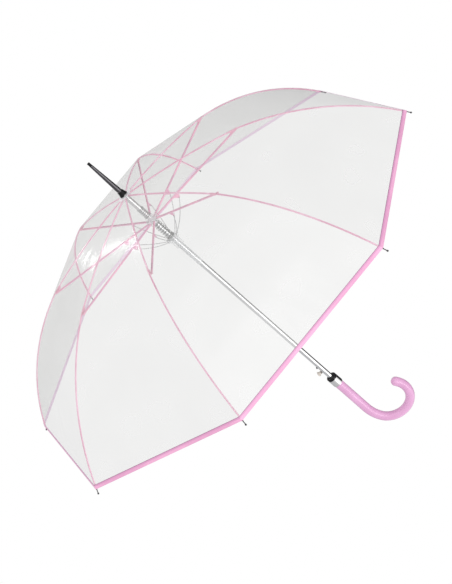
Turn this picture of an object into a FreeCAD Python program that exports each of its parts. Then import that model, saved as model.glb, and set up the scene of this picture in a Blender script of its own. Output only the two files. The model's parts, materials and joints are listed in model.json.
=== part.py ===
"""Automatic stick umbrella, open: eight ribs, clear film canopy, spring runner, release button, crook.

Millimetres. +Z runs up the shaft to the ferrule. The origin is in the middle of the straight grip, on
the shaft's axis. The crook hooks towards +X. Rib 1 points along +X and the others follow every 45
degrees. Each rib's own parts are made in the XZ plane, as if for rib 1, and then turned into place.
"""

import FreeCAD, Part

import math
import os

RIBS = 8
CROWN_Z = 700.0  # height of the crown above the grip

# shaft and ferrule
SHAFT_R = 5.5
SHAFT_BORE_R = 4.7
SHAFT_BOTTOM = 5.0
SHAFT_TOP = CROWN_Z + 2.0
FIT = 0.05  # radial clearance of parts that are pushed on to each other
RUN = 0.06  # radial clearance of parts that run on each other
FERRULE_BASE_R = 5.3
FERRULE_END_R = 3.1
FERRULE_LENGTH = 88.0
FERRULE_SPIGOT = 25.0
CAP_R = 2.9
CAP_LENGTH = 8.2

# crown: the rib eyes hang on a wire ring in a slotted notch
CROWN_PIVOT_R = 9.0
CROWN_PIVOT_Z = CROWN_Z - 6.2
NOTCH_R = 12.5
NOTCH_TOP = CROWN_Z - 3.4
NOTCH_BOTTOM = CROWN_Z - 10.5
RING_R = 0.5
EYE_HOLE_R = 0.85
EYE_R = 1.7
RIB_EYE_T = 0.8

# ribs: an inner and an outer arc, joined by a knuckle where the stretcher meets them
RIB_START = (15.0, CROWN_Z - 7.0)
RIB_START_SLOPE = -7.0
JOINT = (252.0, CROWN_Z - 57.0)
RIB_BEND_SLOPE = -21.0
CORNER = (510.0, CROWN_Z - 269.0)
RIB_HALF_W = 1.25
RIB_HALF_H = 1.1
RIB_WALL = 0.4
TONGUE_HALF_W = 0.5
KNUCKLE_R = 1.05
KNUCKLE_PIN_R = 0.45
WEB_GAP = 1.2
CLIP_OUT = 1.7
CLIP_LENGTH = 12.0
CLIP_DROP = 1.6  # the stretcher is riveted to the clip, this far below the rib's line
TIP_R = 0.9
TIP_BEAD_R = 1.9
TIP_LENGTH = 13.0

# runner: hub, main spring and lower collar
HUB_PIVOT_R = 11.5
HUB_PIVOT_Z = CROWN_Z - 82.0
HUB_FLANGE_R = 14.0
HUB_NECK_R = 9.0
HUB_TOP = HUB_PIVOT_Z + 13.0
HUB_SEAT = HUB_PIVOT_Z - 5.0
SKIRT_IN_R = 9.0
SKIRT_OUT_R = 10.4
SKIRT_DEPTH = 3.0
PIN_R = 0.7
PIN_ENDS = (0.8, 6.2)
COLLAR_PIVOT_R = 13.2
COLLAR_PIVOT_Z = CROWN_Z - 138.0
COLLAR_SEAT = COLLAR_PIVOT_Z + 1.0
COLLAR_FLANGE_R = 14.6
COLLAR_RING_R = 11.1
SLEEVE_R = 6.6
SLEEVE_LENGTH = 82.1  # from the wire pivots down to the sleeve's end
WINDOW_HEIGHT = 10.0
WINDOW_ABOVE_END = 6.7
SPRING_MEAN_R = 8.0
SPRING_WIRE_R = 0.6
SPRING_TURNS = 8.5
BUFFER_MEAN_R = 6.9
BUFFER_WIRE_R = 0.4
BUFFER_TURNS = 6.0
BUFFER_LENGTH = 24.0
WIRE_SIDES = 10

# stretchers lie beside the ribs, one side over
STRETCHER_T = 3.5
STRETCHER_HALF_W = 1.4
STRETCHER_HALF_H = 1.5
STRETCHER_WALL = 0.45
STRETCHER_END_R = 1.8
RIVET_R = 0.9
RIVET_HEAD_R = 1.7
RIVET_HEAD = 0.8
BRACKET_ALONG = 60.0  # from the hub pivot to the bracket's hole
BRACKET_DOWN = 8.0
BRACKET_FOOT = 14.0
WIRE_T = 1.3
WIRE_R = 0.6
WIRE_BOW = 4.0
WIRE_PIN_R = 0.55

# canopy film
FILM_T = 0.2
FILM_GAP = 0.75
FILM_HOLE_R = 13.5
FILM_EDGE_GAP = 0.05  # between neighbouring panels, in degrees
HEM_OUT = 0.5
HEM_WIDTH = 8.5

# handle
GRIP_R = 10.2
GRIP_TOP = 49.0
GRIP_BOTTOM = -45.0
NECK_R = 9.0
BEND_1_R = 92.0
BEND_1 = 25.0
BEND_2_R = 46.0
BEND_2 = 188.0
BAND_R = 11.6
BAND_TOP = 68.0
BUSH_R = 11.4
BUSH_TOP = 74.5
BUSH_FOOT = 62.0

# latch and release button, on the side away from the crook's tip
BUTTON_Z = 97.0
BUTTON_STEM_R = 2.2
BUTTON_BODY_R = 3.4
BUTTON_HEAD_R = 5.4
BLADE_X = -3.8
BLADE_HALF_W = 1.8
BLADE_HALF_T = 0.3
LATCH_PIVOT = (-3.0, 58.0)
LATCH_PIN_R = 0.5
LATCH_EYE_R = 1.1
NOSE_REACH = 8.0
NOSE_FLAT = 110.5
NOSE_PEAK = 112.5
NOSE_TOP = 118.5

Z_AXIS = FreeCAD.Vector(0, 0, 1)
Y_AXIS = FreeCAD.Vector(0, 1, 0)
ORIGIN = FreeCAD.Vector(0, 0, 0)


# ---------------------------------------------------------------- helpers


def vec(x, z, y=0.0):
    """A point in the XZ plane of rib 1, y to its side."""
    return FreeCAD.Vector(x, y, z)


def cylinder_z(radius, bottom, top):
    return Part.makeCylinder(radius, top - bottom, FreeCAD.Vector(0, 0, bottom))


def tube_z(outer, inner, bottom, top):
    return cylinder_z(outer, bottom, top).cut(cylinder_z(inner, bottom - 1, top + 1))


def cylinder_y(radius, x, z, y0, y1):
    return Part.makeCylinder(radius, y1 - y0, vec(x, z, y0), Y_AXIS)


def box(x0, x1, y0, y1, z0, z1):
    return Part.makeBox(x1 - x0, y1 - y0, z1 - z0, FreeCAD.Vector(x0, y0, z0))


def prism_y(points, y0, y1):
    """A flat outline in the XZ plane, given thickness along Y."""
    corners = [vec(x, z, y0) for x, z in points]
    face = Part.Face(Part.makePolygon(corners + corners[:1]))
    return face.extrude(FreeCAD.Vector(0, y1 - y0, 0))


def turned(points):
    """A closed outline of (radius, height) points, spun about the shaft's axis."""
    corners = [vec(r, z) for r, z in points]
    face = Part.Face(Part.makePolygon(corners + corners[:1]))
    return face.revolve(ORIGIN, Z_AXIS, 360)


def fused(shapes):
    whole = shapes[0]
    for shape in shapes[1:]:
        whole = whole.fuse(shape)
    return whole.removeSplitter()


def around(shape, number):
    """A copy of rib 1's part, turned to another rib's place."""
    copy = shape.copy()
    copy.rotate(ORIGIN, Z_AXIS, 360.0 / RIBS * number)
    return copy


def round_the_shaft(shape):
    """One separate solid for each rib, as a group."""
    return Part.makeCompound([around(shape, k) for k in range(RIBS)])


def coil(mean_r, wire_r, turns, bottom, top):
    """A coil spring with its ends inside the two heights. Its wire has a many-sided section."""
    height = top - bottom - 2 * wire_r
    pitch = height / turns
    path = Part.makeHelix(pitch, height, mean_r)
    out = FreeCAD.Vector(wire_r, 0, 0)
    across = FreeCAD.Vector(0, -pitch / (2 * math.pi), mean_r).normalize() * wire_r
    corners = []
    for i in range(WIRE_SIDES):
        angle = 2 * math.pi * i / WIRE_SIDES
        offset = out * math.cos(angle) + across * math.sin(angle)
        corners.append(FreeCAD.Vector(mean_r, 0, 0) + offset)
    section = Part.makePolygon(corners + corners[:1])
    spring = Part.Wire(path.Edges).makePipeShell([section], True, True)
    spring.translate(FreeCAD.Vector(0, 0, bottom + wire_r))
    return spring


class Arc:
    """A circular arc in the XZ plane, bending downwards, that leaves one point at a slope and ends at another."""

    def __init__(self, start, slope, end):
        dx, dz = end[0] - start[0], end[1] - start[1]
        self.half = math.radians(slope) - math.atan2(dz, dx)
        self.slope = math.radians(slope)
        self.radius = math.hypot(dx, dz) / 2 / math.sin(self.half)
        self.centre = (
            start[0] + self.radius * math.sin(self.slope),
            start[1] - self.radius * math.cos(self.slope),
        )
        self.length = 2 * self.half * self.radius

    def end_slope(self):
        return math.degrees(self.slope - 2 * self.half)

    def point(self, along, out=0.0):
        """The point a length along the arc, and a distance out from it."""
        angle = self.slope - along / self.radius + math.pi / 2
        reach = self.radius + out
        return (
            self.centre[0] + reach * math.cos(angle),
            self.centre[1] + reach * math.sin(angle),
        )

    def outline(self, begin, stop, low, high):
        """The closed outline between two lengths and two distances out."""
        middle = (begin + stop) / 2
        outer = Part.Arc(*[vec(*self.point(s, high)) for s in (begin, middle, stop)])
        inner = Part.Arc(*[vec(*self.point(s, low)) for s in (stop, middle, begin)])
        first = Part.LineSegment(
            vec(*self.point(stop, high)), vec(*self.point(stop, low))
        )
        last = Part.LineSegment(
            vec(*self.point(begin, low)), vec(*self.point(begin, high))
        )
        edges = [outer.toShape(), first.toShape(), inner.toShape(), last.toShape()]
        return Part.Face(Part.Wire(edges))

    def strip(self, begin, stop, low, high, y0, y1):
        """A solid strip along the arc, from y0 to y1 across."""
        face = self.outline(begin, stop, low, high)
        face.translate(FreeCAD.Vector(0, y0, 0))
        return face.extrude(FreeCAD.Vector(0, y1 - y0, 0))


INNER_ARC = Arc(RIB_START, RIB_START_SLOPE, JOINT)
OUTER_ARC = Arc(JOINT, RIB_BEND_SLOPE, CORNER)


# ---------------------------------------------------------------- shaft, ferrule and crown


def make_shaft():
    shaft = tube_z(SHAFT_R, SHAFT_BORE_R, SHAFT_BOTTOM, SHAFT_TOP)
    nose_slot = box(-SHAFT_R - 1, 0, -1.9, 1.9, NOSE_FLAT - 3.5, NOSE_TOP + 2.5)
    stem_hole = Part.makeCylinder(
        BUTTON_STEM_R + 0.15, 8, vec(-8, BUTTON_Z), FreeCAD.Vector(1, 0, 0)
    )
    pin_hole = cylinder_y(LATCH_PIN_R + RUN, *LATCH_PIVOT, -8, 8)
    return shaft.cut(nose_slot).cut(stem_hole).cut(pin_hole)


def make_ferrule():
    return turned(
        [
            (0, SHAFT_TOP - FERRULE_SPIGOT),
            (SHAFT_BORE_R - FIT, SHAFT_TOP - FERRULE_SPIGOT),
            (SHAFT_BORE_R - FIT, SHAFT_TOP),
            (FERRULE_BASE_R, SHAFT_TOP),
            (FERRULE_BASE_R, SHAFT_TOP + 12),
            (FERRULE_END_R, CROWN_Z + FERRULE_LENGTH),
            (0, CROWN_Z + FERRULE_LENGTH),
        ]
    )


def make_ferrule_cap():
    bottom = CROWN_Z + FERRULE_LENGTH
    cap = cylinder_z(CAP_R, bottom, bottom + CAP_LENGTH)
    return cap.makeFillet(0.8, [e for e in cap.Edges if e.CenterOfMass.z > bottom + 1])


def make_rosette():
    """The flared collar under the ferrule, hollow towards the film."""
    bore = SHAFT_R + FIT
    return turned(
        [
            (bore, CROWN_Z - 0.3),
            (6.6, CROWN_Z - 0.3),
            (8.3, CROWN_Z - 1.3),
            (8.9, CROWN_Z - 0.9),
            (7.4, CROWN_Z + 3.0),
            (6.5, CROWN_Z + 8.6),
            (5.9, CROWN_Z + 9.4),
            (bore, CROWN_Z + 9.4),
        ]
    )


def make_crown_washer():
    """The clear disc between the rosette and the film."""
    bore = SHAFT_R + FIT
    return turned(
        [
            (bore, CROWN_Z - 3.3),
            (12.0, CROWN_Z - 3.3),
            (16.0, CROWN_Z - 4.0),
            (16.0, CROWN_Z - 3.2),
            (9.0, CROWN_Z - 1.9),
            (6.4, CROWN_Z - 0.6),
            (bore, CROWN_Z - 0.6),
        ]
    )


def make_crown_notch():
    notch = tube_z(NOTCH_R, SHAFT_R + FIT, NOTCH_BOTTOM, NOTCH_TOP)
    slot_half = RIB_EYE_T + 0.45
    slot = box(
        CROWN_PIVOT_R - EYE_R - 0.5,
        NOTCH_R + 2,
        -slot_half,
        slot_half,
        NOTCH_BOTTOM - 1,
        CROWN_PIVOT_Z + EYE_R + 0.3,
    )
    for k in range(RIBS):
        notch = notch.cut(around(slot, k))
    groove = Part.makeTorus(
        CROWN_PIVOT_R, RING_R + 0.1, FreeCAD.Vector(0, 0, CROWN_PIVOT_Z)
    )
    return notch.cut(groove)


def make_crown_wire():
    return Part.makeTorus(CROWN_PIVOT_R, RING_R, FreeCAD.Vector(0, 0, CROWN_PIVOT_Z))


# ---------------------------------------------------------------- ribs


def channel(arc, begin, stop):
    """A steel channel along an arc, open towards the shaft."""
    web = arc.strip(
        begin, stop, RIB_HALF_H - RIB_WALL, RIB_HALF_H, -RIB_HALF_W, RIB_HALF_W
    )
    sides = [
        arc.strip(begin, stop, -RIB_HALF_H, RIB_HALF_H, y, y + RIB_WALL)
        for y in (-RIB_HALF_W, RIB_HALF_W - RIB_WALL)
    ]
    return fused([web, *sides])


def make_rib_inner():
    """From the eye on the crown ring to the tongue of the knuckle, with the joint clip."""
    eye_x, eye_z = CROWN_PIVOT_R, CROWN_PIVOT_Z
    eye = cylinder_y(EYE_R, eye_x, eye_z, -RIB_EYE_T, RIB_EYE_T)
    half = RIB_HALF_H - 0.1
    plate = INNER_ARC.strip(-5.2, 5.0, -half, half, -RIB_EYE_T, RIB_EYE_T)
    stop = INNER_ARC.length - 2.0
    tongue = INNER_ARC.strip(
        stop - 5.0, INNER_ARC.length, -half, half, -TONGUE_HALF_W, TONGUE_HALF_W
    )
    knuckle = cylinder_y(KNUCKLE_R - 0.05, *JOINT, -TONGUE_HALF_W, TONGUE_HALF_W)
    rib = fused(
        [eye, plate, channel(INNER_ARC, 0.0, stop), tongue, knuckle, make_joint_clip()]
    )
    rib = rib.cut(cylinder_y(EYE_HOLE_R, eye_x, eye_z, -5, 5))
    return rib.cut(cylinder_y(KNUCKLE_PIN_R + RUN, *JOINT, -5, 5))


def make_joint_clip():
    """The sheet saddle folded over the rib where the stretcher is riveted."""
    stop = INNER_ARC.length - 2.6
    begin = stop - CLIP_LENGTH
    wall = CLIP_OUT - RIB_HALF_W
    sides = [
        INNER_ARC.strip(begin, stop, -2 * CLIP_DROP, RIB_HALF_H, y, y + wall)
        for y in (-CLIP_OUT, RIB_HALF_W)
    ]
    return fused(sides)


def make_rib_outer():
    """From the knuckle's cheeks to the corner, and the separate metal tip with its bead."""
    begin = WEB_GAP
    body = channel(OUTER_ARC, begin, OUTER_ARC.length - 4.0)
    cheeks = []
    for y in (-RIB_HALF_W, RIB_HALF_W - RIB_WALL):
        cheeks.append(cylinder_y(KNUCKLE_R, *JOINT, y, y + RIB_WALL))
        cheeks.append(
            OUTER_ARC.strip(0, begin + 1, -KNUCKLE_R, KNUCKLE_R, y, y + RIB_WALL)
        )
    pin = cylinder_y(KNUCKLE_PIN_R, *JOINT, -RIB_HALF_W + 0.1, RIB_HALF_W - 0.1)
    return Part.makeCompound([fused([body, *cheeks, pin]), make_rib_tip()])


def make_rib_tip():
    slope = math.radians(OUTER_ARC.end_slope())
    along = FreeCAD.Vector(math.cos(slope), 0, math.sin(slope))
    foot = vec(*OUTER_ARC.point(OUTER_ARC.length - 3.7))
    neck = Part.makeCylinder(TIP_R, TIP_LENGTH, foot, along)
    bead = Part.makeSphere(TIP_BEAD_R, foot + along * (TIP_LENGTH + 0.6))
    socket = Part.makeCylinder(TIP_R + 0.6, 5.0, foot + along * 0.2, along)
    return fused([neck, bead, socket])


# ---------------------------------------------------------------- runner


def make_runner_hub():
    bore = SHAFT_R + RUN
    hub = fused(
        [
            tube_z(HUB_NECK_R, bore, HUB_SEAT, HUB_TOP),
            tube_z(HUB_FLANGE_R, bore, HUB_PIVOT_Z - 4.5, HUB_PIVOT_Z + 4.5),
            tube_z(SKIRT_OUT_R, bore, HUB_SEAT, HUB_PIVOT_Z - 4.0),
            tube_z(SKIRT_OUT_R, SKIRT_IN_R, HUB_SEAT - SKIRT_DEPTH, HUB_SEAT + 0.5),
        ]
    )
    slot = box(
        HUB_PIVOT_R - STRETCHER_END_R - 1.2,
        HUB_FLANGE_R + 2,
        STRETCHER_T - STRETCHER_HALF_W - 0.3,
        STRETCHER_T + STRETCHER_HALF_W + 0.3,
        HUB_PIVOT_Z - 6,
        HUB_PIVOT_Z + 6,
    )
    pin_hole = cylinder_y(PIN_R, HUB_PIVOT_R, HUB_PIVOT_Z, *PIN_ENDS)
    for k in range(RIBS):
        hub = hub.cut(around(slot, k)).cut(around(pin_hole, k))
    return hub


def make_hub_pins():
    return round_the_shaft(cylinder_y(PIN_R, HUB_PIVOT_R, HUB_PIVOT_Z, *PIN_ENDS))


def make_main_spring():
    gap = 0.2
    return coil(
        SPRING_MEAN_R, SPRING_WIRE_R, SPRING_TURNS, COLLAR_SEAT + gap, HUB_SEAT - gap
    )


def make_buffer_spring():
    return coil(
        BUFFER_MEAN_R,
        BUFFER_WIRE_R,
        BUFFER_TURNS,
        HUB_TOP + 0.1,
        HUB_TOP + BUFFER_LENGTH,
    )


def make_lower_collar():
    bore = SHAFT_R + RUN
    end = COLLAR_PIVOT_Z - SLEEVE_LENGTH
    collar = fused(
        [
            tube_z(COLLAR_FLANGE_R, bore, COLLAR_PIVOT_Z - 4.0, COLLAR_SEAT),
            tube_z(SKIRT_OUT_R, SKIRT_IN_R, COLLAR_SEAT - 0.5, COLLAR_SEAT + 3),
            tube_z(9.6, bore, COLLAR_PIVOT_Z - 24.0, COLLAR_PIVOT_Z - 3.5),
            tube_z(SLEEVE_R, bore, end, COLLAR_PIVOT_Z),
        ]
    )
    slot = box(
        COLLAR_PIVOT_R - 2.8,
        COLLAR_FLANGE_R + 2,
        WIRE_T - 1.1,
        WIRE_T + 1.1,
        COLLAR_PIVOT_Z - 6,
        COLLAR_PIVOT_Z + 6,
    )
    for k in range(RIBS):
        collar = collar.cut(around(slot, k))
    groove = Part.makeTorus(
        COLLAR_RING_R, RING_R + 0.05, FreeCAD.Vector(0, 0, COLLAR_PIVOT_Z - 1)
    )
    window_foot = end + WINDOW_ABOVE_END
    window = box(-9, -3, -2.2, 2.2, window_foot, window_foot + WINDOW_HEIGHT)
    return collar.cut(groove).cut(window)


def make_collar_wire():
    return Part.makeTorus(
        COLLAR_RING_R, RING_R, FreeCAD.Vector(0, 0, COLLAR_PIVOT_Z - 1)
    )


# ---------------------------------------------------------------- stretchers and wires

RIVET = OUTER_ARC.point(0.0, -CLIP_DROP)
STRETCHER_REACH = math.hypot(RIVET[0] - HUB_PIVOT_R, RIVET[1] - HUB_PIVOT_Z)
STRETCHER_SLOPE = math.atan2(RIVET[1] - HUB_PIVOT_Z, RIVET[0] - HUB_PIVOT_R)


def on_stretcher(along, up):
    """A point a length along an open stretcher from the hub pivot, and a height above it."""
    c, s = math.cos(STRETCHER_SLOPE), math.sin(STRETCHER_SLOPE)
    return HUB_PIVOT_R + along * c - up * s, HUB_PIVOT_Z + along * s + up * c


def bar(along0, along1, up0, up1, y0, y1):
    """A straight bar lying along the stretcher."""
    corners = [(along0, up0), (along1, up0), (along1, up1), (along0, up1)]
    return prism_y([on_stretcher(a, u) for a, u in corners], y0, y1)


BRACKET = on_stretcher(BRACKET_ALONG, -BRACKET_DOWN)


def make_stretcher():
    """A straight channel, open towards the rib, with its gusset; the rivet is a solid of its own."""
    y0, y1 = STRETCHER_T - STRETCHER_HALF_W, STRETCHER_T + STRETCHER_HALF_W
    half = STRETCHER_HALF_H
    shell = [bar(4.0, STRETCHER_REACH - 5, -half, -half + STRETCHER_WALL, y0, y1)]
    for y in (y0, y1 - STRETCHER_WALL):
        shell.append(bar(0, STRETCHER_REACH, -half, half, y, y + STRETCHER_WALL))
        for x, z in ((HUB_PIVOT_R, HUB_PIVOT_Z), RIVET):
            shell.append(cylinder_y(STRETCHER_END_R, x, z, y, y + STRETCHER_WALL))
    gusset = [
        (BRACKET_ALONG - BRACKET_FOOT * 0.6, -half + 0.2),
        (BRACKET_ALONG - 2.0, -BRACKET_DOWN - 1.6),
        (BRACKET_ALONG + 1.6, -BRACKET_DOWN - 1.6),
        (BRACKET_ALONG + BRACKET_FOOT * 0.4, -half + 0.2),
    ]
    plate = prism_y([on_stretcher(a, u) for a, u in gusset], y0, y0 + STRETCHER_WALL)
    arm = fused([*shell, plate])
    arm = arm.cut(cylinder_y(PIN_R + RUN, HUB_PIVOT_R, HUB_PIVOT_Z, -9, 9))
    arm = arm.cut(cylinder_y(WIRE_PIN_R + RUN, *BRACKET, -9, 9))
    arm = arm.cut(cylinder_y(RIVET_R + 0.02, *RIVET, -9, 9))
    head = cylinder_y(RIVET_HEAD_R, *RIVET, y1 + 0.02, y1 + RIVET_HEAD)
    rivet = fused([cylinder_y(RIVET_R, *RIVET, y0 + 0.1, y1 + 0.1), head])
    return Part.makeCompound([arm, rivet])


def make_assist_wire():
    """A bowed wire from the stretcher's bracket to the lower collar, its top bent into the bracket."""
    x0, z0 = BRACKET
    x1, z1 = COLLAR_PIVOT_R, COLLAR_PIVOT_Z
    length = math.hypot(x1 - x0, z1 - z0)
    side = ((z1 - z0) / length, (x0 - x1) / length)
    middle = vec(
        (x0 + x1) / 2 - side[0] * WIRE_BOW, (z0 + z1) / 2 - side[1] * WIRE_BOW, WIRE_T
    )
    start, end = vec(x0, z0, WIRE_T), vec(x1, z1, WIRE_T)
    path = Part.Arc(start, middle, end)
    tangent = path.tangent(path.FirstParameter)[0]
    section = Part.Wire([Part.makeCircle(WIRE_R, start, tangent)])
    rod = Part.Wire([path.toShape()]).makePipeShell([section], True, True)
    pin_end = STRETCHER_T - STRETCHER_HALF_W + STRETCHER_WALL + 0.5
    pin = cylinder_y(WIRE_PIN_R, x0, z0, WIRE_T, pin_end)
    return fused(
        [rod, Part.makeSphere(WIRE_R, start), Part.makeSphere(WIRE_R, end), pin]
    )


# ---------------------------------------------------------------- canopy


def half_gore(outlines):
    """The film between rib 1 and the middle of the next gore: straight rulings from rib to rib."""
    half_angle = math.pi / RIBS
    ruling = FreeCAD.Vector(-math.sin(half_angle), math.cos(half_angle), 0)
    solids = [face.extrude(ruling * (CORNER[0] * 0.45)) for face in outlines]
    edge = math.radians(180.0 / RIBS - FILM_EDGE_GAP)
    reach = 2 * CORNER[0]
    wedge = Part.makePolygon(
        [
            FreeCAD.Vector(0, 0, 0),
            FreeCAD.Vector(reach, 0, 0),
            FreeCAD.Vector(reach, reach * math.tan(edge), 0),
            FreeCAD.Vector(0, 0, 0),
        ]
    )
    sector = Part.Face(wedge).extrude(FreeCAD.Vector(0, 0, CROWN_Z + 50))
    return [solid.common(sector) for solid in solids]


def make_canopy_panel():
    """The film over one rib, half a gore to each side, with the hem binding along its edge."""
    low = RIB_HALF_H + FILM_GAP
    high = low + FILM_T
    halves = half_gore(
        [
            INNER_ARC.outline(-3.0, INNER_ARC.length, low, high),
            OUTER_ARC.outline(-0.4, OUTER_ARC.length, low, high),
            OUTER_ARC.outline(
                OUTER_ARC.length - HEM_WIDTH, OUTER_ARC.length + 0.6, low, high + HEM_OUT
            ),
        ]
    )
    mirrored = [solid.mirror(ORIGIN, Y_AXIS) for solid in halves]
    panel = fused([*halves, *mirrored])
    return panel.cut(cylinder_z(FILM_HOLE_R, CROWN_Z - 40, CROWN_Z + 20))


# ---------------------------------------------------------------- handle and latch


def make_handle():
    """A straight grip, a gentle bend and a crook, all one round bar with a domed end."""
    grip = cylinder_z(GRIP_R, GRIP_BOTTOM, GRIP_TOP)
    neck = cylinder_z(NECK_R, GRIP_TOP - 1, BUSH_FOOT)
    pieces = [grip, neck]
    heading = 0.0
    x, z = 0.0, GRIP_BOTTOM
    for radius, turn in ((BEND_1_R, BEND_1), (BEND_2_R, BEND_2)):
        angle = math.radians(heading)
        centre = vec(x + radius * math.cos(angle), z + radius * math.sin(angle))
        ring = Part.Face(Part.Wire([section_at(x, z, heading)]))
        pieces.append(ring.revolve(centre, FreeCAD.Vector(0, -1, 0), turn))
        heading += turn
        angle = math.radians(heading)
        x = centre.x - radius * math.cos(angle)
        z = centre.z - radius * math.sin(angle)
    pieces.append(Part.makeSphere(GRIP_R, vec(x, z)))
    bore = cylinder_z(SHAFT_R + FIT, SHAFT_BOTTOM - 1, BUSH_FOOT + 1)
    return fused(pieces).cut(bore)


def section_at(x, z, heading):
    """The bar's round section, facing along a heading counted from straight down towards +X."""
    angle = math.radians(heading)
    along = FreeCAD.Vector(math.sin(angle), 0, -math.cos(angle))
    return Part.makeCircle(GRIP_R, vec(x, z), along)


def make_handle_band():
    return turned(
        [
            (NECK_R + FIT, GRIP_TOP),
            (BAND_R - 0.7, GRIP_TOP),
            (BAND_R, GRIP_TOP + 0.7),
            (BAND_R, BAND_TOP - 0.7),
            (BAND_R - 0.7, BAND_TOP),
            (NECK_R + FIT, BAND_TOP),
        ]
    )


def make_handle_bush():
    bore = SHAFT_R + FIT
    return turned(
        [
            (bore, BUSH_FOOT),
            (NECK_R, BUSH_FOOT),
            (NECK_R, BAND_TOP),
            (BUSH_R, BAND_TOP),
            (BUSH_R, BUSH_TOP - 1.6),
            (BUSH_R - 1.0, BUSH_TOP - 0.3),
            (BUSH_R - 2.4, BUSH_TOP),
            (bore, BUSH_TOP),
        ]
    )


def make_latch_blade():
    """A flat spring inside the shaft that carries the nose, with an eye at its foot."""
    px, pz = LATCH_PIVOT
    left, right = BLADE_X - BLADE_HALF_T, BLADE_X + BLADE_HALF_T
    strip = box(left, right, -BLADE_HALF_W, BLADE_HALF_W, pz, NOSE_TOP + 2)
    eye = cylinder_y(LATCH_EYE_R, px, pz, -BLADE_HALF_W, BLADE_HALF_W)
    nose = prism_y(
        [
            (right - 0.1, NOSE_TOP),
            (-NOSE_REACH, NOSE_PEAK),
            (-NOSE_REACH, NOSE_FLAT),
            (right - 0.1, NOSE_FLAT),
        ],
        -1.5,
        1.5,
    )
    blade = fused([strip, eye, nose])
    return blade.cut(cylinder_y(LATCH_PIN_R + RUN, px, pz, -5, 5))


def make_latch_pin():
    return cylinder_y(LATCH_PIN_R, *LATCH_PIVOT, -4.4, 4.4)


def make_release_button():
    """A T-shaped push button: stem through the shaft, body and a wider head."""
    outline = [
        (0, -4.3),
        (BUTTON_STEM_R, -4.3),
        (BUTTON_STEM_R, -7.9),
        (BUTTON_BODY_R, -7.9),
        (BUTTON_BODY_R, -12.3),
        (BUTTON_HEAD_R - 0.5, -12.6),
        (BUTTON_HEAD_R, -13.2),
        (BUTTON_HEAD_R, -14.9),
        (BUTTON_HEAD_R - 0.6, -15.5),
        (0, -15.5),
    ]
    corners = [FreeCAD.Vector(x, 0, BUTTON_Z + r) for r, x in outline]
    face = Part.Face(Part.makePolygon(corners + corners[:1]))
    return face.revolve(vec(0, BUTTON_Z), FreeCAD.Vector(1, 0, 0), 360)


def make_button_spring():
    """A light coil round the stem, between the shaft and the button's body."""
    spring = coil(2.85, 0.2, 3.0, 0.05, 2.25)
    spring.rotate(ORIGIN, Y_AXIS, -90)
    spring.translate(FreeCAD.Vector(-SHAFT_R - 0.05, 0, BUTTON_Z))
    return spring


# ---------------------------------------------------------------- write the nodes


def write(name, shape):
    shape.exportStep(os.path.join("parts", name + ".step"))


def main():
    os.makedirs("parts", exist_ok=True)
    single = {
        "shaft": make_shaft,
        "ferrule": make_ferrule,
        "ferrule_cap": make_ferrule_cap,
        "rosette": make_rosette,
        "crown_washer": make_crown_washer,
        "crown_notch": make_crown_notch,
        "crown_wire": make_crown_wire,
        "runner_hub": make_runner_hub,
        "hub_pins": make_hub_pins,
        "main_spring": make_main_spring,
        "buffer_spring": make_buffer_spring,
        "lower_collar": make_lower_collar,
        "collar_wire": make_collar_wire,
        "handle": make_handle,
        "handle_band": make_handle_band,
        "handle_bush": make_handle_bush,
        "latch_blade": make_latch_blade,
        "latch_pin": make_latch_pin,
        "release_button": make_release_button,
        "button_spring": make_button_spring,
    }
    for name, make in single.items():
        write(name, make())
    each_rib = {
        "rib_inner": make_rib_inner(),
        "rib_outer": make_rib_outer(),
        "stretcher": make_stretcher(),
        "assist_wire": make_assist_wire(),
        "canopy_panel": make_canopy_panel(),
    }
    for name, shape in each_rib.items():
        for k in range(RIBS):
            write(f"{name}_{k + 1}", around(shape, k))


main()
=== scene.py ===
# %% [markdown]
# # A clear stick umbrella, open
#
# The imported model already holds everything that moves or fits: the shaft, the ribs, the runner, the
# crook. This lesson gives those parts their finishes and makes the soft and wound pieces that a CAD
# model only stands in for: the clear film, the coloured hem and the coil springs. Lengths are in
# metres. +Z runs up the shaft, and rib 1 points along +X.

# %% Load the frame
import json
import math

import bmesh
import bpy
from mathutils import Matrix, Vector


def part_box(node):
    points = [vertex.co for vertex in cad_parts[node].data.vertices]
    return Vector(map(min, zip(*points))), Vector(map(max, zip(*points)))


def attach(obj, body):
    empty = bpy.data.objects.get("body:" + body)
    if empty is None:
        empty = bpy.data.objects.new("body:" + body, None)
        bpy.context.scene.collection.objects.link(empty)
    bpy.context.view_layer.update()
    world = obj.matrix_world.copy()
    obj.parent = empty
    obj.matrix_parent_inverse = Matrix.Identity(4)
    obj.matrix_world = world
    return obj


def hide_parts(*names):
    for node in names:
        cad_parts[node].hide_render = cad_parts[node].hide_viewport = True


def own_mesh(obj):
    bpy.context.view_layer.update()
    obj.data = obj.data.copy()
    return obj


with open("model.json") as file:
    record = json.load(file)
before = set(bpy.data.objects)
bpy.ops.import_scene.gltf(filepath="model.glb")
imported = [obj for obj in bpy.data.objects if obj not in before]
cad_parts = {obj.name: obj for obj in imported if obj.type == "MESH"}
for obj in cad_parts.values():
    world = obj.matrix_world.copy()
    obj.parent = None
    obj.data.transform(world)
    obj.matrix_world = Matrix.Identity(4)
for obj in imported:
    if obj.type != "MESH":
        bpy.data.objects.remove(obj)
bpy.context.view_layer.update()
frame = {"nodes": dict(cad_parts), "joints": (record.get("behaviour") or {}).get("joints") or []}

nodes = frame["nodes"]
joints = {joint["name"]: joint for joint in frame["joints"]}
MM = 0.001
RIBS = 8

# %% [markdown]
# ## Camera
#
# A camera can be placed by hand with three location and three rotation values, but those say nothing
# to a reader. Here it is placed as it would be in a studio: a point near the shaft to look at, how
# far away to stand, from which side and how high, and then how far the camera is rolled. The roll is
# what makes the umbrella lean across the frame.

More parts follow.
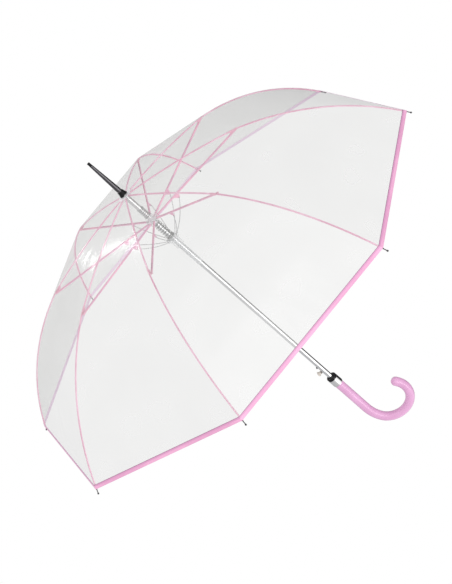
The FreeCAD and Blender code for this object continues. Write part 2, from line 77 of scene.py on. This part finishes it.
# %% Place the camera
AIM = Vector((-0.0111, -0.0037, 0.3925))
DISTANCE = 2.9855
SIDE = math.radians(-71.548)
HEIGHT = math.radians(24.880)
ROLL = math.radians(-48.837)
FOCAL_LENGTH = 89.40
SENSOR_LONG_SIDE = 36.0

away = Vector(
    (
        math.cos(HEIGHT) * math.cos(SIDE),
        math.cos(HEIGHT) * math.sin(SIDE),
        math.sin(HEIGHT),
    )
)
level = away.to_track_quat("Z", "Y").to_matrix().to_4x4()
camera_data = bpy.data.cameras.new("camera")
camera_data.lens = FOCAL_LENGTH
camera_data.sensor_width = SENSOR_LONG_SIDE
camera_data.clip_end = 50.0
camera = bpy.data.objects.new("camera", camera_data)
camera.matrix_world = (
    Matrix.Translation(AIM + away * DISTANCE) @ level @ Matrix.Rotation(ROLL, 4, "Z")
)
bpy.context.collection.objects.link(camera)
bpy.context.scene.camera = camera
print("camera at", [round(c, 3) for c in camera.matrix_world.translation])

# %% [markdown]
# ## Writing a material as sums
#
# A node tree is a drawing of arithmetic, so it reads best as arithmetic. The small class below holds
# one socket. Adding or multiplying two of them adds a Math node, and any other node comes from the
# one method, `node`, which takes the node's type, its settings and what goes into its sockets.


# %% A socket that can be added and multiplied
class Socket:
    """One output of a material's nodes, on which sums are written as in Python."""

    def __init__(self, tree, output=None):
        self.tree = tree
        self.output = output

    def node(self, kind, settings=None, inputs=None, output=0):
        made = self.tree.nodes.new(kind)
        for name, value in (settings or {}).items():
            if name == "stops":
                set_stops(made.color_ramp, value)
            else:
                setattr(made, name, value)
        for name, value in (inputs or {}).items():
            if isinstance(value, Socket):
                self.tree.links.new(value.output, made.inputs[name])
            else:
                made.inputs[name].default_value = value
        return Socket(self.tree, made.outputs[output])

    def maths(self, operation, first, second=0.0):
        return self.node(
            "ShaderNodeMath", {"operation": operation}, {0: first, 1: second}
        )

    def __add__(self, other):
        return self.maths("ADD", self, other)

    def __sub__(self, other):
        return self.maths("SUBTRACT", self, other)

    def __mul__(self, other):
        return self.maths("MULTIPLY", self, other)

    def __truediv__(self, other):
        return self.maths("DIVIDE", self, other)


def set_stops(ramp, stops):
    """Gives a ramp its (position, colour) stops. A colour without an alpha is opaque."""
    while len(ramp.elements) < len(stops):
        ramp.elements.new(0.5)
    for element, (position, colour) in zip(ramp.elements, stops):
        element.position = position
        element.color = colour if len(colour) == 4 else (*colour, 1.0)


print("Socket holds", [name for name in dir(Socket) if "add" in name or "mul" in name])

# %% [markdown]
# ## A material in one call
#
# Every finish here is a Principled shader. What is the same all over goes straight on to the
# shader's own sockets. What changes over the surface comes from a function that is handed a first
# socket and gives back a dictionary of what to link.


# %% Make a material
def make_material(name, fixed, varied):
    material = bpy.data.materials.new(name)
    material.use_nodes = True
    tree = material.node_tree
    shader = tree.nodes["Principled BSDF"]
    for socket, value in fixed.items():
        shader.inputs[socket].default_value = value
    for socket, value in varied(Socket(tree)).items():
        tree.links.new(value.output, shader.inputs[socket])
    print("material", name, "with", len(tree.nodes), "nodes")
    return material


def places(start, scale=(1.0, 1.0, 1.0)):
    """Object coordinates, stretched: the pattern stays on the piece wherever it is turned."""
    coordinates = start.node("ShaderNodeTexCoord", output="Object")
    return start.node(
        "ShaderNodeMapping", {"vector_type": "POINT"}, {0: coordinates, 3: scale}
    )


def noise(start, scale, where, detail=3.0, roughness=0.5):
    return start.node(
        "ShaderNodeTexNoise",
        inputs={
            "Vector": where,
            "Scale": scale,
            "Detail": detail,
            "Roughness": roughness,
        },
    )


def ramp(value, *stops):
    """A colour for each value, blended between stops of (position, colour)."""
    return value.node("ShaderNodeValToRGB", {"stops": stops}, {0: value})


def bump(height, strength, distance):
    return height.node(
        "ShaderNodeBump",
        inputs={"Height": height, "Strength": strength, "Distance": distance},
    )


def finish_node(material, *names):
    """Puts a material on CAD nodes, whose shape stays as it is."""
    for name in names:
        for place in nodes[name].material_slots:
            place.material = material


# %% [markdown]
# ## Metals
#
# The shaft is plated steel tube. It is polished along its length, so its faint scratches run up the
# tube: noise that is stretched along Z. The ferrule has a dark plate. The wires and springs are drawn
# steel, with marks that have no direction, and only their greyness differs.


# %% Plated and drawn steels
def brushed(start, colours, along, rough, relief):
    """Long faint marks in the colour, the roughness and the surface of a metal."""
    marks = noise(start, 260.0, places(start, along), 2.0, 0.5)
    clouds = noise(start, 14.0, places(start), 2.0)
    wear = marks * 0.65 + clouds * 0.35
    return {
        "Base Color": ramp(wear, (0.3, colours[0]), (0.7, colours[1])),
        "Roughness": wear * (rough[1] - rough[0]) + rough[0],
        "Normal": bump(marks, relief, 0.0001),
    }


LENGTHWISE = (1.0, 1.0, 0.02)
EVENLY = (1.0, 1.0, 1.0)
plated_steel = make_material(
    "plated_steel",
    {"Metallic": 1.0},
    lambda start: brushed(
        start,
        ((0.86, 0.87, 0.88), (0.95, 0.95, 0.95)),
        LENGTHWISE,
        (0.04, 0.10),
        0.03,
    ),
)
gunmetal = make_material(
    "gunmetal_plate",
    {"Metallic": 1.0},
    lambda start: brushed(
        start,
        ((0.105, 0.100, 0.110), (0.150, 0.145, 0.152)),
        LENGTHWISE,
        (0.06, 0.14),
        0.03,
    ),
)
polished_chrome = make_material(
    "polished_chrome",
    {"Metallic": 1.0},
    lambda start: brushed(
        start,
        ((0.88, 0.87, 0.87), (0.95, 0.95, 0.94)),
        EVENLY,
        (0.10, 0.22),
        0.03,
    ),
)
drawn_wire = make_material(
    "drawn_wire",
    {"Metallic": 1.0},
    lambda start: brushed(
        start, ((0.38, 0.38, 0.39), (0.56, 0.56, 0.57)), EVENLY, (0.2, 0.35), 0.1
    ),
)
spring_steel = make_material(
    "spring_steel",
    {"Metallic": 1.0},
    lambda start: brushed(
        start, ((0.05, 0.05, 0.055), (0.12, 0.12, 0.125)), EVENLY, (0.2, 0.35), 0.1
    ),
)
finish_node(plated_steel, "shaft")
finish_node(gunmetal, "ferrule")
finish_node(polished_chrome, "handle_band")
finish_node(drawn_wire, "crown_wire", "collar_wire", "hub_pins", "latch_pin")
finish_node(drawn_wire, *[f"assist_wire_{k}" for k in range(1, RIBS + 1)])
finish_node(spring_steel, "latch_blade")

# %% [markdown]
# ## Plastics
#
# The handle is moulded and polished: an even colour with a very slow drift in it, a clear coat that
# gives the soft highlight, and a trace of ripple that keeps the highlight from being perfect. The
# black moulding has no coat and the beige one little. The runner and the crown pieces
# are clear plastic that has gone milky with its own thickness, so they are partly see-through.


# %% Moulded plastics
def moulded(start, colours, rough, ripple):
    drift = noise(start, 22.0, places(start), 2.0)
    grain = noise(start, 70.0, places(start), 2.0)
    return {
        "Base Color": ramp(drift, (0.35, colours[0]), (0.65, colours[1])),
        "Roughness": grain * (rough[1] - rough[0]) + rough[0],
        "Normal": bump(drift, ripple, 0.001),
    }


pink_handle = make_material(
    "pink_handle_gloss",
    {"Coat Weight": 0.4, "Coat Roughness": 0.12},
    lambda start: moulded(
        start, ((0.59, 0.30, 0.50), (0.65, 0.35, 0.56)), (0.30, 0.36), 0.03
    ),
)
black_moulding = make_material(
    "black_moulding",
    {"Specular IOR Level": 0.25},
    lambda start: moulded(
        start, ((0.004, 0.004, 0.005), (0.010, 0.010, 0.011)), (0.25, 0.4), 0.08
    ),
)
beige_moulding = make_material(
    "beige_moulding",
    {"Coat Weight": 0.1},
    lambda start: moulded(
        start, ((0.52, 0.47, 0.42), (0.60, 0.55, 0.50)), (0.35, 0.5), 0.08
    ),
)


def milky(start):
    """Clear plastic: thin to look through face on, whiter where it is seen edge on."""
    clouds = noise(start, 120.0, places(start), 3.0)
    edge = start.node("ShaderNodeLayerWeight", inputs={"Blend": 0.35}, output="Facing")
    return {
        "Base Color": ramp(clouds, (0.3, (0.80, 0.82, 0.84)), (0.7, (0.92, 0.93, 0.94))),
        "Roughness": clouds * 0.15 + 0.08,
        "Alpha": edge * 0.4 + 0.16,
        "Normal": bump(clouds, 0.1, 0.0003),
    }


clear_moulding = make_material("clear_moulding", {"Coat Weight": 0.5}, milky)
finish_node(pink_handle, "handle")
finish_node(black_moulding, "rosette", "handle_bush", "ferrule_cap")
finish_node(beige_moulding, "release_button")
finish_node(
    clear_moulding, "crown_washer", "crown_notch", "runner_hub", "lower_collar"
)

# %% [markdown]
# ## Painted ribs
#
# Ribs and stretchers are steel channel under pink powder coat. The coat is deeper on the joint
# clips, smoother at the roots, and stops short of the rib's tip, which is bare dark metal. Each of
# those places is a distance from the shaft, so one number, the distance of a point from the Z axis,
# draws them all.

# %% Pink powder coat
knuckle = Vector(joints["rib_1_flex"]["pos_m"])
crown_pivot = Vector(joints["rib_1_fold"]["pos_m"])
CORNER = Vector((0.510, 0.0, 0.431))
TIP_STARTS = CORNER.x - 2 * MM
CLIP = 12 * MM
ROOT = 40 * MM


def reach_of(start):
    """How far a point of the piece is from the shaft's axis."""
    coordinates = start.node("ShaderNodeTexCoord", output="Object")
    flat = start.node(
        "ShaderNodeVectorMath", {"operation": "MULTIPLY"}, {0: coordinates, 1: (1, 1, 0)}
    )
    return start.node(
        "ShaderNodeVectorMath", {"operation": "LENGTH"}, {0: flat}, output="Value"
    )


def between(value, low, high):
    """1 where the value lies between two limits, with soft ends."""
    soft = 0.4 * MM
    rising = value.node(
        "ShaderNodeMapRange",
        {"interpolation_type": "SMOOTHSTEP"},
        {"Value": value, "From Min": low - soft, "From Max": low + soft},
    )
    falling = value.node(
        "ShaderNodeMapRange",
        {"interpolation_type": "SMOOTHSTEP"},
        {"Value": value, "From Min": high - soft, "From Max": high + soft},
    )
    return rising - falling


def mixed(share, first, second):
    """One colour passing into another as share goes from 0 to 1."""
    return share.node(
        "ShaderNodeMix", {"data_type": "RGBA"}, {0: share, 6: first, 7: second}, 2
    )


def powder_coat(start, dark, light):
    reach = reach_of(start)
    clip = between(reach, knuckle.x - CLIP - 3 * MM, knuckle.x + 3 * MM)
    root = between(reach, -0.1, ROOT)
    tip = between(reach, TIP_STARTS, CORNER.x + 0.1)
    grain = noise(start, 240.0, places(start), 2.0)
    drift = noise(start, 20.0, places(start), 3.0, 0.6)
    # The lighter and darker blotches of the coat are painted highlight and shade along the ribs and
    # stretchers.
    paint_with_shading = ramp(drift, (0.38, dark), (0.62, light))
    pressed = mixed(clip * 0.75, paint_with_shading, (0.84, 0.34, 0.50, 1.0))
    return {
        "Base Color": mixed(tip, pressed, (0.07, 0.07, 0.075, 1.0)),
        "Metallic": tip * 0.9,
        "Roughness": grain * 0.1 + 0.3 - root * 0.06,
        "Normal": bump(grain, 0.1, 0.0001),
    }


rib_paint = make_material(
    "rib_paint",
    {"Coat Weight": 0.25, "Coat Roughness": 0.15},
    lambda start: powder_coat(start, (0.82, 0.30, 0.50), (0.98, 0.54, 0.73)),
)
stretcher_paint = make_material(
    "stretcher_paint",
    {"Coat Weight": 0.25, "Coat Roughness": 0.15},
    lambda start: powder_coat(start, (0.70, 0.28, 0.47), (0.92, 0.38, 0.58)),
)
for k in range(1, RIBS + 1):
    finish_node(rib_paint, f"rib_inner_{k}", f"rib_outer_{k}")
    finish_node(stretcher_paint, f"stretcher_{k}")

# %% [markdown]
# ## The lines of a rib
#
# The film lies on the ribs, so its shape starts from the same two arcs as theirs. An arc that leaves
# one point at a slope and ends at another has only one radius. With it, a vertex is spun about the
# arc's centre and leaves a chain of edges behind it.


# %% An arc that bends downwards
class Arc:
    def __init__(self, start, slope, end):
        chord = end - start
        half = math.radians(slope) - math.atan2(chord.z, chord.x)
        self.radius = chord.length / 2 / math.sin(half)
        self.turn = 2 * half
        self.start = start
        lean = math.radians(slope)
        inward = Vector((math.sin(lean), 0.0, -math.cos(lean)))
        self.centre = start + inward * self.radius
        self.lean = lean
        self.length = self.turn * self.radius

    def point(self, along, out=0.0):
        angle = self.lean - along / self.radius
        outward = Vector((-math.sin(angle), 0.0, math.cos(angle)))
        return self.centre + outward * (self.radius + out)

    def chord_slope(self):
        chord = self.point(self.length) - self.start
        return math.atan2(-chord.z, chord.x)


RIB_HALF_HEIGHT = 1.1 * MM
FILM_LIFT = RIB_HALF_HEIGHT + 0.85 * MM
FILM_PAST_ROOT = 1.2 * MM
PIVOT_BELOW_CROWN = 6.2 * MM
CROWN_Z = crown_pivot.z + PIVOT_BELOW_CROWN
RIB_ROOT = Vector((15 * MM, 0.0, CROWN_Z - 7 * MM))
ROOT_SLOPE = -7.0
BEND_SLOPE = -21.0
inner_rib = Arc(RIB_ROOT, ROOT_SLOPE, knuckle)
outer_rib = Arc(knuckle, BEND_SLOPE, CORNER)
film_top = inner_rib.point(-FILM_PAST_ROOT, FILM_LIFT)
film_bend = (
    knuckle
    + (inner_rib.point(inner_rib.length, FILM_LIFT) - knuckle) * 0.5
    + (outer_rib.point(0.0, FILM_LIFT) - knuckle) * 0.5
)
film_edge = outer_rib.point(outer_rib.length, FILM_LIFT)
inner_film = Arc(film_top, ROOT_SLOPE, film_bend)
outer_film = Arc(film_bend, BEND_SLOPE, film_edge)
print("rib length", round(inner_rib.length + outer_rib.length, 4))
print("film length", round(inner_film.length + outer_film.length, 4))

# %% [markdown]
# ## The film
#
# A canopy of clear film is cut as one gore for each pair of ribs and welded into one continuous
# sheet. Pulled tight between two ribs, a gore is straight from rib to rib and curved only the other
# way. So it is made by pulling the rib's line sideways along that straight direction, and cutting it
# at the middle of the gore. Its mirror image completes the gore from the next rib, with the same
# normals, and the sheet runs on over the join.
#
# When the umbrella shuts, the film crumples against its rib. A squash can flatten a piece along one
# direction only, so the film is parted along the ribs and at the middle of each gore, and each part
# rides on its own rib; nothing here flattens it on to the rib's chord.

# %% Directions in a gore
HALF_GORE = math.pi / RIBS
RULING = Vector((-math.sin(HALF_GORE), math.cos(HALF_GORE), 0.0))
PULL = 0.25
ACROSS = 6
STEP = 5 * MM


def spin_line(bm, arc):
    """Adds a chain of edges along the whole of an arc."""
    bmesh.ops.spin(
        bm,
        geom=[bm.verts.new(arc.point(0.0))],
        cent=arc.centre,
        axis=(0, 1, 0),
        dvec=(0, 0, 0),
        angle=arc.length / arc.radius,
        steps=max(2, round(arc.length / STEP)),
        use_merge=False,
        use_duplicate=False,
    )


def pull_sideways(bm):
    """Pulls every edge along the ruling, and cuts the strip at the middle of the gore."""
    pulled = bmesh.ops.extrude_edge_only(bm, edges=bm.edges[:])
    moved = [item for item in pulled["geom"] if isinstance(item, bmesh.types.BMVert)]
    bmesh.ops.translate(bm, verts=moved, vec=RULING * PULL)
    bmesh.ops.bisect_plane(
        bm,
        geom=bm.verts[:] + bm.edges[:] + bm.faces[:],
        plane_co=(0, 0, 0),
        plane_no=RULING,
        clear_outer=True,
    )


def is_across(edge):
    """Whether an edge runs along the ruling."""
    way = edge.verts[1].co - edge.verts[0].co
    return way.length > 0 and abs(way.normalized().dot(RULING)) > 0.999


def chart(bm, arc):
    """A UV map in metres: along the ruling, and along the arc."""
    layer = bm.loops.layers.uv.new("cloth")
    for face in bm.faces:
        for loop in face.loops:
            width = loop.vert.co.y / RULING.y
            on_rib = loop.vert.co - RULING * width - arc.centre
            angle = math.atan2(on_rib.x, on_rib.z)
            along = (angle + arc.lean) * arc.radius
            loop[layer].uv = (width, along)


def place_on_rib(bm, k, side):
    """Mirrors the part for the rib's other side and turns it to its rib."""
    if side < 0:
        bmesh.ops.scale(bm, verts=bm.verts[:], vec=(1, -1, 1))
        bmesh.ops.reverse_faces(bm, faces=bm.faces[:])
    turn = Matrix.Rotation(2 * HALF_GORE * (k - 1), 3, "Z")
    bmesh.ops.rotate(bm, verts=bm.verts[:], cent=(0, 0, 0), matrix=turn)


def to_object(bm, name, material, smooth=True):
    for face in bm.faces:
        face.smooth = smooth
    mesh = bpy.data.meshes.new(name)
    bm.to_mesh(mesh)
    bm.free()
    mesh.materials.append(material)
    made = bpy.data.objects.new(name, mesh)
    bpy.context.collection.objects.link(made)
    return made


def crumple(piece, arc, k):
    """Gives a part of the film a mesh of its own; the rib's slope and turn that it works out are not
    used.
    """
    slope = arc.chord_slope()
    turn = Matrix.Rotation(2 * HALF_GORE * (k - 1), 3, "Z")
    turn @ arc.start
    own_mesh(piece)


print("a gore is", round(2 * CORNER.x * math.sin(HALF_GORE), 3), "m along its hem")


# %% [markdown]
# ## Clear film
#
# The film is thin vinyl with a milky frost, a little denser edge on, where there is more of it in the
# way. A faint waviness from rolling, stretched along the film, breaks up what it reflects. Near the
# crown, fine white lines are painted on as highlight streaks, a little more opaque than the rest of
# the film, and fade out away from the crown.


# %% The film's material
BLACK = (0.0, 0.0, 0.0)
WHITE = (1.0, 1.0, 1.0, 1.0)


def clear_film_of(start):
    cloth = start.node("ShaderNodeUVMap", {"uv_map": "cloth"})
    wide = start.node("ShaderNodeMapping", inputs={0: cloth, 3: (1.0, 0.35, 1.0)})
    long = start.node("ShaderNodeMapping", inputs={0: cloth, 3: (1.0, 0.07, 1.0)})
    waves = noise(start, 16.0, wide, 2.0)
    clouds = noise(start, 9.0, cloth, 2.0)
    near_crown = start.node(
        "ShaderNodeMapRange",
        inputs={"Value": reach_of(start), "From Min": 0.28, "From Max": 0.12},
    )
    # Painted highlight: white streaks near the crown, which fade out away from it.
    lines = ramp(noise(start, 55.0, long, 2.0), (0.60, BLACK), (0.72, WHITE))
    painted_streaks = lines * near_crown
    edge = start.node("ShaderNodeLayerWeight", inputs={"Blend": 0.3}, output="Facing")
    ground = ramp(clouds, (0.3, (0.51, 0.51, 0.50)), (0.7, (0.57, 0.57, 0.56)))
    return {
        "Base Color": mixed(painted_streaks, ground, WHITE),
        "Roughness": clouds * 0.08 + 0.10,
        "Alpha": edge * 0.03 + 0.37 + clouds * 0.04 + painted_streaks * 0.3,
        "Normal": bump(waves, 0.3, 0.006),
    }


clear_film = make_material("clear_film", {"IOR": 1.53}, clear_film_of)


# %% [markdown]
# ## The hem
#
# The canopy's edge is bound with a pink strip folded over the film, eight and a half millimetres wide
# on each face, and heat-sealed along its inner edge. Its section is a thin closed loop round the
# film's edge: along the outside, round the fold, and back along the inside. The inside is painted a
# greyer mauve as shade, since it faces away from the light, and a face attribute, `outside`, tells
# the material which is which. On the outside, a dark line at the inner edge and a patchy darker band
# beside it are painted shade; the seal itself shows only as a slight relief.

# %% The hem's material
HEM_WIDTH = 8.5 * MM
HEM_LOW = -0.25 * MM
HEM_HIGH = 0.35 * MM
SEAL_WIDTH = 1.1 * MM


def hem_of(start):
    cloth = start.node("ShaderNodeUVMap", {"uv_map": "cloth"})
    split = start.node("ShaderNodeSeparateXYZ", inputs={0: cloth}, output="Y")
    from_seal = split - (outer_film.length - HEM_WIDTH)
    # Painted shade: a dark line along the strip's inner edge. The same mask also gives the seal's
    # slight relief.
    seal_and_shade_line = between(from_seal, -1.0, SEAL_WIDTH)
    shaded_band = between(from_seal, SEAL_WIDTH, 0.45 * HEM_WIDTH)
    outside = start.node("ShaderNodeAttribute", {"attribute_name": "outside"}, output=2)
    clouds = noise(start, 14.0, cloth, 2.0)
    fine = noise(start, 300.0, cloth, 2.0)
    ground = ramp(clouds, (0.35, (0.66, 0.30, 0.49)), (0.65, (0.78, 0.39, 0.59)))
    # Painted shade: a patchy darker band beside the inner edge.
    shaded = mixed(shaded_band * clouds * 0.7, ground, (0.42, 0.17, 0.35, 1.0))
    with_shade_line = mixed(seal_and_shade_line * 0.8, shaded, (0.20, 0.08, 0.16, 1.0))
    return {
        # The inside faces get a greyer mauve: painted shade, as they face away from the light.
        "Base Color": mixed(outside, (0.72, 0.52, 0.69, 1.0), with_shade_line),
        "Roughness": fine * 0.1 + 0.3,
        "Normal": bump(fine * 0.6 - seal_and_shade_line * 0.4, 0.2, 0.0002),
    }


hem_binding = make_material("hem_binding", {"Coat Weight": 0.3}, hem_of)


# %% Make one side of one rib's film
def make_film(name, arc, k, side, body):
    bm = bmesh.new()
    spin_line(bm, arc)
    pull_sideways(bm)
    rulings = [edge for edge in bm.edges if is_across(edge)]
    bmesh.ops.subdivide_edges(bm, edges=rulings, cuts=ACROSS, use_grid_fill=True)
    chart(bm, arc)
    area = sum(face.calc_area() for face in bm.faces)
    place_on_rib(bm, k, side)
    piece = to_object(bm, name, clear_film)
    crumple(piece, arc, k)
    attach(piece, body)
    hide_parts(f"canopy_panel_{k}")
    return piece, area


def make_hem(name, k, side):
    bm = bmesh.new()
    begin, stop = outer_film.length - HEM_WIDTH, outer_film.length + 0.3 * MM
    section = [
        outer_film.point(begin, HEM_LOW),
        outer_film.point(begin, HEM_HIGH),
        outer_film.point(stop, HEM_HIGH),
        outer_film.point(stop + 0.3 * MM, 0.0),
        outer_film.point(stop, HEM_LOW),
    ]
    corners = [bm.verts.new(point) for point in section]
    for first, second in zip(corners, corners[1:] + corners[:1]):
        bm.edges.new((first, second))
    pull_sideways(bm)
    bmesh.ops.holes_fill(bm, edges=[e for e in bm.edges if e.is_boundary], sides=0)
    bmesh.ops.recalc_face_normals(bm, faces=bm.faces[:])
    chart(bm, outer_film)
    outside = bm.faces.layers.float.new("outside")
    for face in bm.faces:
        face[outside] = float(face.normal.dot(Vector((1, 0, 0.6))) > 0)
    place_on_rib(bm, k, side)
    piece = to_object(bm, name, hem_binding, smooth=False)
    crumple(piece, outer_film, k)
    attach(piece, f"rib_end_{k}")
    return piece


for k in range(1, RIBS + 1):
    for side, letter in ((1, "left"), (-1, "right")):
        top, top_area = make_film(
            f"film_top_{k}_{letter}", inner_film, k, side, f"rib_{k}"
        )
        skirt, skirt_area = make_film(
            f"film_skirt_{k}_{letter}", outer_film, k, side, f"rib_end_{k}"
        )
        hem = make_hem(f"hem_{k}_{letter}", k, side)
print("half a gore has", round(top_area + skirt_area, 4), "square metres of film")

# %% [markdown]
# ## Coil springs
#
# A coil is a round section carried along a helix. Spin does that when it is also given a step along
# the axis. The main spring is wound wide at the top and close at the bottom, so it is spun in
# stretches, each with its own step.


# %% Wind a spring
def wind(bm, mean, wire, foot, stretches, section=10, per_turn=28):
    """Winds a coil up from foot: each stretch is (turns, rise per turn)."""
    made = bmesh.ops.create_circle(bm, cap_ends=True, segments=section, radius=wire)
    upright = Matrix.Rotation(math.pi / 2, 3, "X")
    bmesh.ops.rotate(bm, verts=made["verts"], cent=(0, 0, 0), matrix=upright)
    bmesh.ops.translate(bm, verts=made["verts"], vec=(mean, 0, foot))
    last = bm.verts[:] + bm.edges[:] + bm.faces[:]
    for turns, rise in stretches:
        spun = bmesh.ops.spin(
            bm,
            geom=last,
            cent=(0, 0, 0),
            axis=(0, 0, 1),
            dvec=(0, 0, rise / per_turn),
            angle=2 * math.pi * turns,
            steps=round(turns * per_turn),
            use_merge=False,
            use_duplicate=False,
        )
        last = spun["geom_last"]
    bmesh.ops.recalc_face_normals(bm, faces=bm.faces[:])


def make_spring(name, node, body, mean, wire, stretches):
    low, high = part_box(node)
    bm = bmesh.new()
    wind(bm, mean, wire, low.z + wire, stretches)
    spring = to_object(bm, name, spring_steel)
    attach(spring, body)
    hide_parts(node)
    top = max(vertex.co.z for vertex in spring.data.vertices)
    print(name, "stands", round(top - low.z, 4), "m of", round(high.z - low.z, 4))
    return spring


main_coils = make_spring(
    "main_spring_coils",
    "main_spring",
    "hub",
    8.0 * MM,
    0.6 * MM,
    [(1, 1.3 * MM), (2, 3.2 * MM), (6, 6.0 * MM), (1, 1.3 * MM)],
)
make_spring(
    "buffer_spring_coils",
    "buffer_spring",
    "hub",
    6.9 * MM,
    0.4 * MM,
    [(1, 0.9 * MM), (4.5, 4.6 * MM), (1, 0.9 * MM)],
)
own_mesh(main_coils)

# %% [markdown]
# ## The button's spring
#
# The small coil behind the release button lies on its side and stays on the shaft. The button
# presses it nearly flat when pushed; here the coil is only wound and laid over.

# %% Wind it, then lay it over
BUTTON_WIRE = 0.2 * MM
BUTTON_MEAN = 2.85 * MM
BUTTON_TURNS = 3
low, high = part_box("button_spring")
rise = (high.x - low.x - 2 * BUTTON_WIRE) / BUTTON_TURNS
laid = bmesh.new()
wind(laid, BUTTON_MEAN, BUTTON_WIRE, 0.0, [(BUTTON_TURNS, rise)])
over = Matrix.Rotation(-math.pi / 2, 3, "Y")
bmesh.ops.rotate(laid, verts=laid.verts[:], cent=(0, 0, 0), matrix=over)
bmesh.ops.translate(
    laid, verts=laid.verts[:], vec=(high.x - BUTTON_WIRE, 0, (low.z + high.z) / 2)
)
button_coils = to_object(laid, "button_spring_coils", spring_steel)
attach(button_coils, "stick")
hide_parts("button_spring")
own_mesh(button_coils)
print("button coil from", round(low.x, 5), "to", round(high.x, 5))

# %% [markdown]
# ## Floor and light
#
# A clear canopy shows only what is behind it, so the studio is a white one: a pale floor, and a
# surround that the camera sees as white and that lights everything evenly. A large soft box lights
# the near side, and two narrower ones give the shaft and the film their bright lines. What shines
# sees something else: a surround with a grey side, a white side and a black strip, or a polished
# tube would vanish against white.

# %% Floor
FLOOR_Z = -1.2
FLOOR_RADIUS = 0.8
floor_mesh = bmesh.new()
bmesh.ops.create_circle(floor_mesh, cap_ends=True, segments=96, radius=FLOOR_RADIUS)
bmesh.ops.translate(floor_mesh, verts=floor_mesh.verts[:], vec=(0, 0, FLOOR_Z))
floor_glow = {
    "Base Color": (0.02, 0.02, 0.02, 1.0),
    "Roughness": 1.0,
    "Specular IOR Level": 0.0,
    "Emission Color": (1.0, 1.0, 1.0, 1.0),
    "Emission Strength": 0.98,
}
floor_paint = make_material("pale_floor", floor_glow, lambda start: {})
floor = to_object(floor_mesh, "floor", floor_paint, smooth=False)


# %% Soft boxes
def soft_box(name, at, toward, size, power):
    data = bpy.data.lights.new(name, "AREA")
    data.shape = "RECTANGLE"
    data.size, data.size_y = size
    data.energy = power
    lamp = bpy.data.objects.new(name, data)
    way = Vector(at) - Vector(toward)
    lamp.matrix_world = Matrix.Translation(at) @ way.to_track_quat(
        "Z", "Y"
    ).to_matrix().to_4x4()
    bpy.context.collection.objects.link(lamp)
    return lamp


middle = (0.0, 0.0, 0.5)
soft_box("key", (0.3, -2.6, 2.6), middle, (2.2, 1.8), 16.0)
soft_box("strip", (1.15, -1.45, -0.35), middle, (0.5, 1.9), 11.0)
soft_box("streak", (-0.9, 1.3, 2.3), middle, (0.06, 2.4), 6.0)

# %% Surround
world = bpy.data.worlds.new("studio")
world.use_nodes = True
bpy.context.scene.world = world
sky = Socket(world.node_tree)
background = world.node_tree.nodes["Background"]
seen = sky.node("ShaderNodeLightPath", output="Is Camera Ray")
reflected = sky.node("ShaderNodeLightPath", output="Is Glossy Ray")
way = sky.node("ShaderNodeTexCoord", output="Generated")
way_x = sky.node("ShaderNodeSeparateXYZ", inputs={0: way}, output="X")
way_y = sky.node("ShaderNodeSeparateXYZ", inputs={0: way}, output="Y")
around = sky.maths("ARCTAN2", way_y, way_x)
strips = ramp(
    around / (2 * math.pi) + 0.5,
    (0.00, (0.48, 0.48, 0.50)),
    (0.24, (0.55, 0.55, 0.56)),
    (0.29, (1.0, 1.0, 1.0)),
    (0.48, (1.0, 1.0, 1.0)),
    (0.53, (0.01, 0.01, 0.012)),
    (0.76, (0.01, 0.01, 0.012)),
    (0.80, (0.55, 0.55, 0.55)),
    (1.00, (0.48, 0.48, 0.50)),
)
EVEN_LIGHT = (1.1, 1.1, 1.1, 1.0)
plain = mixed(seen, EVEN_LIGHT, WHITE)
surround = mixed(reflected, plain, strips)
world.node_tree.links.new(surround.output, background.inputs["Color"])
background.inputs["Strength"].default_value = 1.0
bpy.context.scene.view_settings.view_transform = "Standard"

# %% [markdown]
